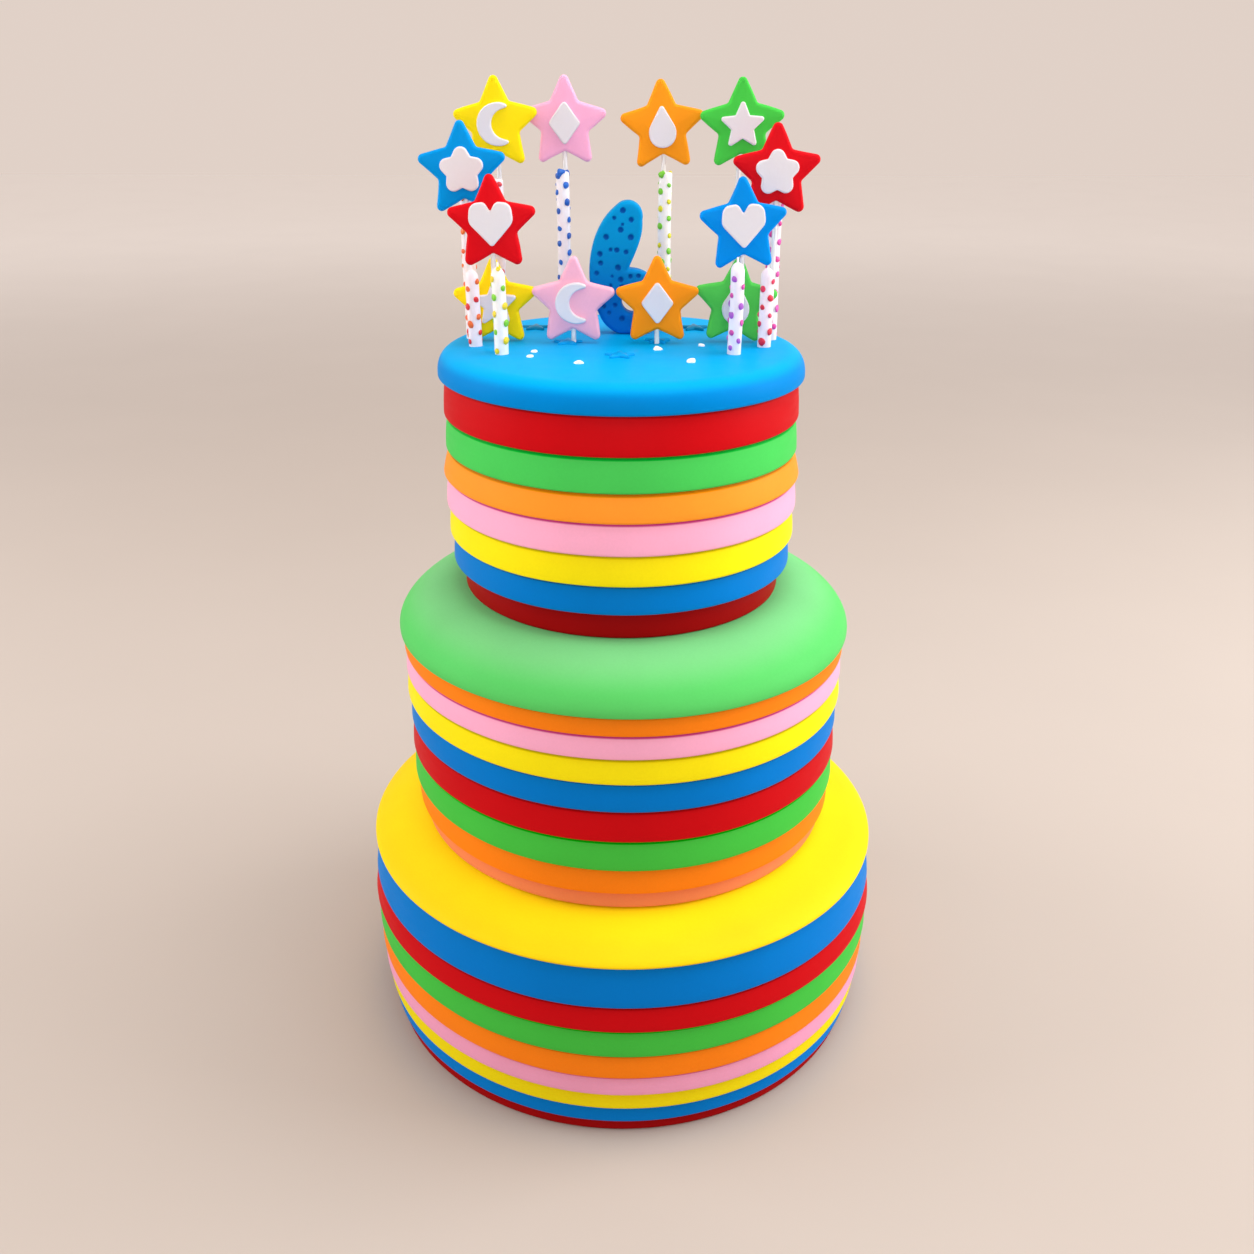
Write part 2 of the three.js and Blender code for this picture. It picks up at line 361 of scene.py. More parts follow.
def paintTopLight(material, lower, upper, start, end):
    # painted light: the paste's colour grows paler with its height, standing in for the light that falls
    # on top
    tree = material.node_tree
    level = smoothStep(apart(objectPlace(tree))["Z"], start, end)
    feed(tree.nodes["paste"], {"Paste Colour": mixColours(level, paint(lower), paint(upper))})


pastes = {}
for colourName, colour in pasteColours.items():
    pastes[colourName] = makePaste(colourName + "Paste", colour)
# painted light: caps are paler on top, where light falls from above: lower colour, upper colour, the
# heights between which they blend, shine
capPaintedLight = {
    "sky": ((0, 130, 207), (0, 164, 229), 0.3445, 0.3495, 0.025),
    "mint": ((88, 200, 101), (120, 205, 131), 0.2245, 0.2365, 0.05),
    "capYellow": ((242, 210, 20), (252, 232, 22), 0.106, 0.1135, 0.05),
}
for colourName, (lower, upper, start, end, shine) in capPaintedLight.items():
    pastes[colourName] = makePaste(colourName + "Paste", lower, shine=shine)
    paintTopLight(pastes[colourName], lower, upper, start, end)
print("paste materials made")

# the three tiers
layerLook = {
    "turns": 192,
    "unevenness": 0.5 * mm,  # in and out, from thumb and rolling pin
    "wave": 1.0 * mm,  # up and down, the same for touching layers
    "lean": 0.021,  # layers lie a little lower on the right
    "level": 0.44,  # height at which that lean would be gone
    "fade": 0.03,  # the wave dies out towards the base
    "bandEdge": 1.3 * mm,
    "bandLip": 0.6 * mm,
    "bandBelly": 0.25 * mm,
    "bandTuck": 1.3 * mm,
    "capEdge": 1.2 * mm,
    # painted shade in the crease under the layer above
    "paintedShadeStart": 1.6 * mm,  # how far under the layer above the painted shade starts
    "paintedShadeFull": 0.9 * mm,
    "unevenScale": 16,
    "waveScale": 11,
    "evenMiddle": 4.0,  # how fast the unevenness dies out towards the axis
    "seedStep": 3.7,
}
# shoulder width, height and fullness of each cap
shoulders = {
    "upper_cap_sky": (10 * mm, 10.5 * mm, 2.4),
    "middle_cap_mint": (30 * mm, 19.5 * mm, 1.7),
    "lower_cap_yellow": (38 * mm, 11.8 * mm, 1.5),
}
socketDepth = 4 * mm
# the plain top of the cake, under everything that stands on it
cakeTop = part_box("candle_1")[0].z + socketDepth


def makeLayerTree(look):
    # sweeps a profile round the cake's axis and makes it a little uneven
    tree, given, made = newGroup("roundLayer", "GeometryNodeTree", {
        "Geometry": "Geometry", "Turns": 192, "Rail Radius": 0.1, "Unevenness": 0.0005, "Wave": 0.001,
        "Lean": 0.0, "Level": 0.44, "Fade": 0.03, "Seed": 0.0, "Paste": "Material",
    }, {"Geometry": "Geometry"})
    rail = addNode(tree, "GeometryNodeCurvePrimitiveCircle", {
        "Resolution": given["Turns"], "Radius": given["Rail Radius"],
    })
    profile = addNode(tree, "GeometryNodeMeshToCurve", {"Mesh": given["Geometry"]})
    sweep = addNode(tree, "GeometryNodeCurveToMesh", {
        "Curve": rail.outputs["Curve"], "Profile Curve": profile.outputs["Curve"],
    })
    welded = passOn(sweep.outputs["Mesh"], "MergeByDistance", Distance=1e-6)
    flip = addNode(tree, "GeometryNodeFlipFaces", {"Mesh": welded})
    # where each point is, and which way is outwards
    here = addNode(tree, "GeometryNodeInputPosition").outputs["Position"]
    parts = apart(here)
    flat = vectors("MULTIPLY", here, (1, 1, 0))
    share = maths("DIVIDE", vectors("LENGTH", flat), given["Rail Radius"], clamp=True)
    # in and out, another pattern for each seed
    push = addNode(tree, "ShaderNodeTexNoise", noise_dimensions="4D")
    feed(push, {"Vector": here, "W": given["Seed"], "Scale": look["unevenScale"], "Detail": 1.5})
    pushBy = times(minus(push.outputs["Fac"], 0.5), given["Unevenness"])
    pushBy = times(pushBy, maths("POWER", share, look["evenMiddle"]))
    pushed = vectors("SCALE", vectors("NORMALIZE", flat), pushBy)
    # up and down, one pattern through the whole cake
    lift = times(minus(noiseAt(here, look["waveScale"], 1.0), 0.5), given["Wave"])
    leanShare = minus(1.0, maths("DIVIDE", parts["Z"], given["Level"]))
    lift = minus(lift, times(times(parts["X"], given["Lean"]), leanShare))
    grounded = maths("DIVIDE", parts["Z"], given["Fade"], clamp=True)
    shift = vectors("ADD", pushed, together(tree, Z=times(lift, grounded)))
    shape = passOn(flip.outputs["Mesh"], "SetPosition", Offset=shift)
    shape = passOn(passOn(shape, "SetShadeSmooth"), "RealizeInstances")
    feed(made, {"Geometry": passOn(shape, "SetMaterial", Material=given["Paste"])})
    return tree


layerTree = makeLayerTree(layerLook)


def cornerArc(x, z, radius, fromTurn, toTurn, steps):
    points = []
    for i in range(steps + 1):
        turn = fromTurn + (toTurn - fromTurn) * i / steps
        points.append((x + radius * math.cos(turn), z + radius * math.sin(turn)))
    return points


def inwardRings(radius, z, count):
    # points from the axis out to just short of the edge
    return [(radius * (i / count), z) for i in range(count)]


def bandProfile(lowRadius, topRadius, low, high, look):
    edge = look["bandEdge"]
    lip = look["bandLip"]
    quarter = math.pi / 2
    points = inwardRings(lowRadius - edge, low, 4)
    points += cornerArc(lowRadius - edge, low + edge, edge, -quarter, 0, 5)
    steps = 6
    span = high - lip - low - edge
    # heights where the painted shade in the crease starts and where it is full
    paintedShade = [high - look["paintedShadeStart"], high - look["paintedShadeFull"]]
    heights = [low + edge + span * i / steps for i in range(1, steps)]
    for z in [z for z in heights if z < paintedShade[0] - 0.4 * mm] + paintedShade:
        t = (z - low - edge) / span
        belly = look["bandBelly"] * math.sin(math.pi * t)
        points.append((lowRadius + (topRadius - lowRadius) * t + belly, z))
    points += cornerArc(topRadius - lip, high - lip, lip, 0, quarter, 3)
    points += reversed(inwardRings(topRadius - lip, high, 4))
    return points


def capProfile(radius, low, high, shoulder, look):
    edge = look["capEdge"]
    width, height, fullness = shoulder
    power = 2 / fullness
    quarter = math.pi / 2
    points = inwardRings(radius - edge, low, 4)
    points += cornerArc(radius - edge, low + edge, edge, -quarter, 0, 7)
    steps = 26
    for i in range(steps + 1):
        turn = quarter * i / steps
        z = high - height * (1 - math.sin(turn) ** power)
        if z - points[-1][1] < 1e-6:
            continue
        points.append((radius - width * (1 - max(0, math.cos(turn)) ** power), z))
    points += reversed(inwardRings(radius - width, high, 8))
    return points


def makeLayer(nodeName, slotName, points, railRadius, offset, seed):
    mesh = bpy.data.meshes.new(nodeName)
    vertices = [(r - railRadius, -z, 0) for r, z in points]
    mesh.from_pydata(vertices, [(i, i + 1) for i in range(len(points) - 1)], [])
    if "band" in nodeName:
        # a mask for the painted shade in the crease under the layer above
        paintedShade = mesh.attributes.new("paintedShade", "FLOAT", "POINT")
        high = max(z for r, z in points)
        fade = layerLook["paintedShadeStart"] - layerLook["paintedShadeFull"]
        for i, (r, z) in enumerate(points):
            paintedShade.data[i].value = min(1, max(0, (z - high + layerLook["paintedShadeStart"]) / fade))
    shared = ("turns", "unevenness", "wave", "lean", "level", "fade")
    values = {
        **{key.capitalize(): layerLook[key] for key in shared},
        "Rail Radius": railRadius,
        "Seed": seed * layerLook["seedStep"],
        "Paste": pastes[ownPaste.get(nodeName, slotName)],
    }
    obj = grow(nodeName + "_look", mesh, layerTree, values)
    obj.data.transform(Matrix.Translation((offset, 0, 0)))
    finishPiece(obj, "paste_" + slotName, nodeName)


def tierNodes(tier):
    names = [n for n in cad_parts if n.startswith(tier + "_")]
    return sorted(names, key=lambda n: -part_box(n)[1].z)


layerCount = 0
for tier in ("upper", "middle", "lower"):
    above = None
    for name in tierNodes(tier):
        low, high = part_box(name)
        radius = (high.x - low.x) / 2
        offset = (low.x + high.x) / 2
        colourName = name.split("_")[-1]
        if "cap" in name:
            top = min(high.z, cakeTop)
            points = capProfile(radius, low.z, top, shoulders[name], layerLook)
            above = radius - layerLook["capEdge"]
        else:
            tucked = min(above, radius) - layerLook["bandTuck"]
            points = bandProfile(radius, tucked, low.z, high.z, layerLook)
            above = radius
        makeLayer(name, colourName, points, radius, offset, layerCount)
        layerCount += 1
print("tiers made:", layerCount, "layers")

# slabs with rounded corners


def turned(vector, angle):
    x, z = vector
    return (x * math.cos(angle) - z * math.sin(angle), x * math.sin(angle) + z * math.cos(angle))


def cornerFacts(corners):
    # for each corner: where it is, its turn, the inward sides before and after it, its radius
    count = len(corners)
    facts = []
    for i, (x, z, radius) in enumerate(corners):
        before = corners[i - 1]
        after = corners[(i + 1) % count]
        ux, uz = x - before[0], z - before[1]
        vx, vz = after[0] - x, after[1] - z
        lengthIn = math.hypot(ux, uz)
        lengthOut = math.hypot(vx, vz)
        ux, uz, vx, vz = ux / lengthIn, uz / lengthIn, vx / lengthOut, vz / lengthOut
        turn = math.atan2(ux * vz - uz * vx, ux * vx + uz * vz)
        facts.append({
            "x": x, "z": z, "turn": turn, "radius": radius,
            "inward": (-uz, ux), "onward": (-vz, vx), "out": lengthOut,
        })
    # shrink radii that would run into each other
    scales = [1.0] * count
    for i in range(count):
        j = (i + 1) % count
        first = facts[i]["radius"] * math.tan(abs(facts[i]["turn"]) / 2)
        second = facts[j]["radius"] * math.tan(abs(facts[j]["turn"]) / 2)
        room = facts[i]["out"] * 0.98
        if first + second > room:
            share = room / (first + second)
            scales[i] = min(scales[i], share)
            scales[j] = min(scales[j], share)
    for fact, share in zip(facts, scales):
        fact["radius"] *= share
    return facts


def outline(facts, inset, edgeSteps=0):
    # the rounded outline, moved inwards by inset; always the same number of points
    arcs = []
    for fact in facts:
        side = 1 if fact["turn"] > 0 else -1
        nx, nz = fact["inward"]
        mx, mz = fact["onward"]
        spread = 1 + nx * mx + nz * mz
        reach = side * fact["radius"] / spread
        middleX = fact["x"] + reach * (nx + mx)
        middleZ = fact["z"] + reach * (nz + mz)
        steps = max(2, math.ceil(abs(fact["turn"]) / math.radians(17)))
        radius = fact["radius"] - side * inset
        arc = []
        for j in range(steps + 1):
            ax, az = turned((nx, nz), fact["turn"] * j / steps)
            arc.append((middleX - side * radius * ax, middleZ - side * radius * az))
        arcs.append(arc)
    points = []
    for i, arc in enumerate(arcs):
        points += arc
        ahead = arcs[(i + 1) % len(arcs)][0]
        for j in range(edgeSteps):
            t = (j + 1) / (edgeSteps + 1)
            points.append((
                arc[-1][0] + (ahead[0] - arc[-1][0]) * t,
                arc[-1][1] + (ahead[1] - arc[-1][1]) * t,
            ))
    return points


def roundedSections(back, front, edge, steps):
    # (inset, depth) from the back face round to the front face
    sections = []
    for i in range(steps + 1):
        turn = math.pi / 2 * i / steps
        sections.append((edge * (1 - math.sin(turn)), back - edge * (1 - math.cos(turn))))
    for i in range(steps + 1):
        turn = math.pi / 2 * i / steps
        sections.append((edge * (1 - math.cos(turn)), front + edge * (1 - math.sin(turn))))
    return sections


def addRing(build, points, depth):
    return [build.verts.new((x, depth, z)) for x, z in points]


def bridge(build, first, second):
    count = len(first)
    for i in range(count):
        j = (i + 1) % count
        build.faces.new((first[i], first[j], second[j], second[i]))


def closeFace(build, ring, points, depth, dome):
    # fills a star-shaped face with shrinking rings, or any flat face with one fan-free cap
    if dome is None:
        build.faces.new(ring)
        return
    for share in (0.8, 0.55, 0.3, 0.12):
        shrunk = [(x * share, z * share) for x, z in points]
        fresh = addRing(build, shrunk, depth + dome * (1 - share ** 2))
        bridge(build, ring, fresh)
        ring = fresh
    middle = build.verts.new((0, depth + dome, 0))
    count = len(ring)
    for i in range(count):
        build.faces.new((ring[i], ring[(i + 1) % count], middle))


def slabMesh(corners, back, front, edge, dome=None, steps=4, edgeSteps=0):
    facts = cornerFacts(corners)
    build = bmesh.new()
    previous = None
    for inset, depth in roundedSections(back, front, edge, steps):
        points = outline(facts, inset, edgeSteps)
        ring = addRing(build, points, depth)
        if previous:
            bridge(build, previous, ring)
        else:
            closeFace(build, ring, points, depth, None if dome is None else dome * 0.4)
        previous = ring
    closeFace(build, previous, points, depth, None if dome is None else -dome)
    bmesh.ops.remove_doubles(build, verts=build.verts, dist=1e-7)
    bmesh.ops.recalc_face_normals(build, faces=build.faces)
    bmesh.ops.triangulate(build, faces=[f for f in build.faces if len(f.verts) > 4])
    for face in build.faces:  # a plain flat face stays flat
        face.smooth = dome is not None or abs(face.normal.y) < 0.999
    return build


def starCorners(outer, waist, tipRadius, notchRadius, droop=0):
    # sharp corners lie further out than the rounded tips
    half = math.pi / 5
    inner = outer * waist
    sharp = outer
    for _ in range(12):
        lean = math.atan2(inner * math.sin(half), sharp - inner * math.cos(half))
        sharp = outer + tipRadius * (1 / math.sin(lean) - 1)
    corners = []
    for k in range(5):
        turn = math.pi / 2 + 2 * half * k
        arm = turn + math.radians(droop) * (0, 1, 0, 0, -1)[k]
        corners.append((sharp * math.cos(arm), sharp * math.sin(arm), tipRadius))
        corners.append((inner * math.cos(turn + half), inner * math.sin(turn + half), notchRadius))
    return corners


def scaled(corners, size):
    return [(x * size, z * size, radius * size) for x, z, radius in corners]


# star picks
starLook = {
    "radius": 19.3 * mm,
    "stretch": 1.036,  # height over width
    "waist": 0.575,
    "tip": 2.1 * mm,
    "notch": 1.8 * mm,
    "thickness": 4.4 * mm,
    "edge": 1.7 * mm,
    "dome": 0.3 * mm,
    "wobble": 0.35 * mm,
    "wobblePitch": 90,
}
ornamentLook = {
    "size": 1.08,
    "rise": 2.2 * mm,
    "edge": 0.75 * mm,
    "sunk": 1.6 * mm,
    "wobble": 0.105 * mm,
}
# corners as (across, up, radius) in millimetres, anticlockwise
ornamentCorners = {
    "heart": [
        (0, -8.4, 1.2), (8.8, 1.0, 4.0), (8.0, 7.9, 3.4), (2.3, 8.6, 2.2),
        (0, 4.9, 0.5), (-2.3, 8.6, 2.2), (-8.0, 7.9, 3.4), (-8.8, 1.0, 4.0),
    ],
    "drop": [(0, 9.0, 1.1), (-5.9, -0.8, 5.5), (-5.2, -8.2, 5.5), (5.2, -8.2, 5.5), (5.9, -0.8, 5.5)],
    "diamond": [(0, 9.0, 1.3), (-6.8, 0, 1.4), (0, -9.0, 1.3), (6.8, 0, 1.4)],
    "flower": starCorners(8.9, 0.72, 2.9, 0.7),
    "star": starCorners(9.2, 0.54, 1.0, 0.5),
}


def crescentCorners():
    # the outer arc and the inner one, which runs back the other way, each with the point it ends in:
    # (middle across, radius, start and sweep in degrees, corners, height of the point)
    arcs = ((0.8, 8.3, 55, 250, 6, -6.7), (4.2, 5.8, 252, -144, 4, 6.7))
    corners = []
    for x, radius, start, sweep, count, point in arcs:
        reach = radius / math.cos(math.radians(sweep / count / 2))
        for i in range(count):
            turn = math.radians(start + sweep * (i + 0.5) / count)
            corners.append((x + reach * math.cos(turn), reach * math.sin(turn), radius))
        corners.append((6.3, point, 0.9))
    return corners


ornamentCorners["crescent"] = crescentCorners()
# ornament, tilt and droop in degrees as in the solids, and the star's own paste
starPicks = {
    "star_top_1_red": ("heart", 1.2, 2, (217, 12, 25)),
    "star_top_2_blue": ("flower", 1.4, 2.6, (0, 147, 225)),
    "star_top_3_yellow": ("crescent", 1.6, 4, (250, 224, 19)),
    "star_top_4_pink": ("diamond", 0, 6, (244, 175, 211)),
    "star_top_5_orange": ("drop", 3, 4.4, (248, 153, 28)),
    "star_top_6_green": ("star", 0.8, 5.4, (70, 200, 73)),
    "star_top_7_red": ("flower", 1.2, 2.6, (214, 14, 27)),
    "star_top_8_blue": ("heart", 2.8, 2.6, (0, 140, 229)),
    "star_low_1_yellow": ("star", 1.2, 2.6, (255, 222, 20)),
    "star_low_2_pink": ("crescent", -0.7, 3.2, (248, 182, 205)),
    "star_low_3_orange": ("diamond", 0.7, 3.2, (255, 149, 26)),
    "star_low_4_green": ("drop", -3, 2.6, (84, 202, 84)),
}

whitePaste = makePaste("whitePaste", (250, 251, 255), mottle=0.012, roughness=0.4)
ornamentPaste = makePaste("ornamentPaste", (224, 221, 227), mottle=0.012)


def placeSlab(build, name, tilt, middle, wobble, seed, material):
    # a little uneven, tilted, and moved to its place
    for vertex in build.verts:
        where = vertex.co * starLook["wobblePitch"]
        where.y += seed * 7.3
        vertex.co += noise.noise_vector(where) * wobble
    spin = Matrix.Rotation(-math.radians(tilt), 4, "Y")
    build.transform(Matrix.Translation(middle) @ spin)
    return linkObject(name, meshFrom(build, name, material))


for seed, (name, (ornament, tilt, droop, colour)) in enumerate(starPicks.items()):
    low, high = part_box(name)
    # the star's own middle, from the highest tip and the even thickness
    half = starLook["thickness"] / 2
    reach = starLook["radius"] * starLook["stretch"]
    lean = math.sin(math.radians(tilt)) * math.cos(math.radians(72 + droop))
    middle = Vector((
        (low.x + high.x) / 2 + reach * lean,
        high.y - half,
        high.z - reach * math.cos(math.radians(tilt)),
    ))
    corners = starCorners(
        starLook["radius"], starLook["waist"], starLook["tip"], starLook["notch"], droop,
    )
    build = slabMesh(corners, half, -half, starLook["edge"], starLook["dome"], 5, 4)
    build.transform(Matrix.Scale(starLook["stretch"], 4, (0, 0, 1)))
    paste = makePaste(name + "Paste", colour)
    obj = placeSlab(build, name + "_look", tilt, middle, starLook["wobble"], seed, paste)
    finishPiece(obj, "paste_" + name.split("_")[-1], name)
    face = -half - starLook["dome"]
    corners = scaled(ornamentCorners[ornament], ornamentLook["size"] * mm)
    back, front = face + ornamentLook["sunk"], -half - ornamentLook["rise"]
    build = slabMesh(corners, back, front, ornamentLook["edge"], edgeSteps=1)
    label = name.replace("star", ornament + "_ornament", 1)
    obj = placeSlab(build, label, tilt, middle, ornamentLook["wobble"], seed + 40, ornamentPaste)
    finishPiece(obj, "candle_wax", name)
print("star picks made:", len(starPicks))

# sticks
stickLook = {
    "outer": 1.1 * mm,
    "inner": 0.72 * mm,
    "sides": 20,
    "bend": 0.25 * mm,
    "lengths": 8,
}


def makePlastic():
    material, tree, shader = newMaterial("clearTube")
    haze = noiseAt(objectPlace(tree), 300, 2)
    feed(shader, {
        "Base Color": mixColours(haze, (0.95, 0.96, 0.98, 1), (1.0, 1.0, 1.0, 1)),
        "Roughness": times(haze, 0.2),
        "Transmission Weight": 0.2,
        "IOR": 1.49,
    })
    return material


clearPlastic = makePlastic()


def addCircle(build, x, y, z, sides, reachAt):
    # a ring of points round an upright line; reachAt gives its radius at each turn
    ring = []
    for k in range(sides):
        turn = 2 * math.pi * k / sides
        reach = reachAt(turn)
        ring.append(build.verts.new((x + reach * math.cos(turn), y + reach * math.sin(turn), z)))
    return ring


def makeStick(name, seed, look):
    low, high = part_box(name)
    x, y = (low.x + high.x) / 2, (low.y + high.y) / 2
    build = bmesh.new()
    lengths = look["lengths"]
    up = [i / lengths for i in range(lengths + 1)]
    rings = []
    for radius, shares in ((look["outer"], up), (look["inner"], up[::-1])):
        for t in shares:
            sway = look["bend"] * math.sin(math.pi * t) * math.sin(seed * 2.1)
            z = low.z + (high.z - low.z) * t
            rings.append(addCircle(build, x + sway, y, z, look["sides"], lambda turn: radius))
    for i, ring in enumerate(rings):
        bridge(build, ring, rings[(i + 1) % len(rings)])
    bmesh.ops.recalc_face_normals(build, faces=build.faces)
    mesh = meshFrom(build, name + "_look", clearPlastic)
    smooth(mesh)
    finishPiece(linkObject(name + "_look", mesh), "clear_plastic", name)


stickNames = sorted(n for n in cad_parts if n.startswith("stick_"))
for seed, name in enumerate(stickNames):
    makeStick(name, seed, stickLook)
print("sticks made:", len(stickNames))

# candles
candleLook = {
    "radius": 3.0 * mm,
    "taper": 6 * mm,
    "bluntTaper": 1.2 * mm,  # of the tall candles
    "tallFrom": 55 * mm,
    "wick": 0.45 * mm,
    "wickLength": 2.2 * mm,
    "sides": 28,
    "twist": 90.0,  # radians of twist for each metre
    "flute": 0.12 * mm,
    "sway": 0.3 * mm,
    "spotRadius": 1.5 * mm,
    "spotRise": 0.34,  # thickness over radius
    "spotPitch": 3.75 * mm,
    "spotWobble": 0.8 * mm,
    "spotStart": 2.4 * mm,  # above the cap
    "spotEnd": 2 * mm,  # below the taper
    "footBevel": 0.35 * mm,
    "ringStep": 1.5 * mm,
    # (share of the taper, share of the radius) up the top of a tall candle and of a short one
    "tallTop": ((0.3, 0.985), (0.62, 0.93), (0.86, 0.82), (0.97, 0.66), (1.0, 0.42)),
    "shortTop": ((0.14, 0.97), (0.28, 0.89), (0.42, 0.74), (0.53, 0.54), (0.61, 0.32)),
}
# a bigger drop near the top of some candles: across, down from the top, radius in millimetres
topDrops = {
    "candle_1": (0.2, 2.6, 0.9),
    "candle_7": (-0.6, 0.6, 1.9),
    "candle_8": (-1.5, 0.8, 1.7),
}
# spot colours of each candle, and its wax tint
candleSpots = {
    "candle_1": ((246, 214, 20), (126, 208, 40), (252, 250, 246)),
    "candle_2": ((226, 36, 42), (246, 106, 36), (250, 238, 244)),
    "candle_3": ((222, 26, 60), (232, 44, 90), (250, 236, 244)),
    "candle_4": ((172, 86, 200), (214, 70, 170), (246, 240, 252)),
    "candle_5": ((250, 120, 30), (246, 96, 30), (250, 240, 246)),
    "candle_6": ((232, 60, 70), (240, 84, 84), (250, 240, 246)),
    "candle_7": ((8, 104, 206), (14, 92, 190), (250, 246, 252)),
    "candle_8": ((116, 206, 40), (226, 222, 26), (252, 250, 246)),
    "candle_9": ((228, 60, 160), (236, 80, 180), (250, 240, 248)),
}


def makeWax(name, colour):
    material, tree, shader = newMaterial(name)
    bloom = noiseAt(objectPlace(tree), 260, 3)
    deeper = tuple(int(c * 0.94) for c in colour)
    bump = addNode(tree, "ShaderNodeBump", {"Strength": 0.3, "Distance": 0.0002, "Height": bloom})
    feed(shader, {
        "Base Color": mixColours(bloom, paint(colour), paint(deeper)),
        "Roughness": plus(times(bloom, 0.3), 0.22),
        "Normal": bump.outputs["Normal"],
        "Subsurface Weight": 0.25,
        "Subsurface Radius": (1.0, 0.8, 0.7),
        "Subsurface Scale": 0.002,
    })
    return material


def lumpsOf(tree, size, values):
    # small shifts that leave nothing quite round
    lumps = addNode(tree, "ShaderNodeTexNoise", values)
    return vectors("SCALE", vectors("SUBTRACT", lumps.outputs["Color"], (0.5, 0.5, 0.5)), size)


def makeSpotTree():
    # flat drops of coloured wax that wind round a candle
    tree, given, made = newGroup("candleSpots", "GeometryNodeTree", {
        "Geometry": "Geometry", "Count": 20, "Foot": "Vector", "Pitch": 0.002, "Candle Radius": 0.003,
        "Spot Radius": 0.0012, "Rise": 0.3, "Wobble": 0.0006, "Seed": 0,
        "First Colour": "Material", "Second Colour": "Material",
    }, {"Geometry": "Geometry"})
    number = addNode(tree, "GeometryNodeInputIndex").outputs["Index"]
    jitter = addNode(tree, "FunctionNodeRandomValue", data_type="FLOAT_VECTOR")
    feed(jitter, {"Min": (-0.5, -0.5, 0.74), "Max": (0.5, 0.5, 1.14), "Seed": given["Seed"]})
    loose = apart(jitter.outputs["Value"])
    # two spots to a row, on opposite sides; the next row is a quarter turn on
    row = maths("FLOOR", maths("DIVIDE", number, 2.0))
    side = times(maths("MODULO", number, 2.0), math.pi)
    turn = plus(times(maths("MODULO", row, 2.0), math.pi / 2), side)
    turn = minus(plus(turn, times(loose["X"], 0.6)), math.pi * 0.75)
    height = times(plus(row, times(loose["Y"], 0.35)), given["Pitch"])
    normal = together(tree, X=maths("COSINE", turn), Y=maths("SINE", turn))
    spot = vectors("ADD", vectors("SCALE", normal, given["Candle Radius"]), together(tree, Z=height))
    points = addNode(tree, "GeometryNodePoints", {
        "Count": given["Count"], "Position": vectors("ADD", spot, given["Foot"]),
    })
    ball = addNode(tree, "GeometryNodeMeshIcoSphere", {"Subdivisions": 2, "Radius": given["Spot Radius"]})
    aim = addNode(tree, "FunctionNodeAlignRotationToVector", {"Vector": normal}, axis="Z")
    size = together(tree, X=loose["Z"], Y=plus(loose["Z"], times(loose["X"], 0.3)), Z=given["Rise"])
    press = addNode(tree, "GeometryNodeInstanceOnPoints", {
        "Points": points.outputs["Points"], "Instance": ball.outputs["Mesh"],
        "Rotation": aim.outputs["Rotation"], "Scale": size,
    })
    # two rows of one colour, then two of the other
    rowPair = maths("FLOOR", maths("DIVIDE", number, 4.0))
    oddness = addNode(tree, "GeometryNodeStoreNamedAttribute", data_type="FLOAT", domain="INSTANCE")
    feed(oddness, {
        "Geometry": press.outputs["Instances"], "Name": "odd", "Value": maths("MODULO", rowPair, 2.0),
    })
    shape = passOn(oddness.outputs["Geometry"], "RealizeInstances")
    lumps = lumpsOf(tree, given["Wobble"], {"Scale": 420, "Detail": 1})
    shape = passOn(passOn(shape, "SetPosition", Offset=lumps), "SetShadeSmooth")
    shape = passOn(shape, "SetMaterial", Material=given["First Colour"])
    recall = addNode(tree, "GeometryNodeInputNamedAttribute", {"Name": "odd"}, data_type="FLOAT")
    isOdd = addNode(tree, "FunctionNodeCompare", data_type="FLOAT", operation="GREATER_THAN")
    feed(isOdd, {"A": recall.outputs["Attribute"], "B": 0.5})
    second = {"Selection": isOdd.outputs["Result"], "Material": given["Second Colour"]}
    feed(made, {"Geometry": passOn(shape, "SetMaterial", **second)})
    return tree


spotTree = makeSpotTree()


def candleSway(z, seed):
    return (
        candleLook["sway"] * math.sin(z * 95 + seed * 1.7) * 0.5,
        candleLook["sway"] * math.cos(z * 80 + seed * 2.9) * 0.5,
    )


def isTall(low, high):
    return high.z - low.z > candleLook["tallFrom"]


def candleTaper(low, high):
    return candleLook["bluntTaper" if isTall(low, high) else "taper"]


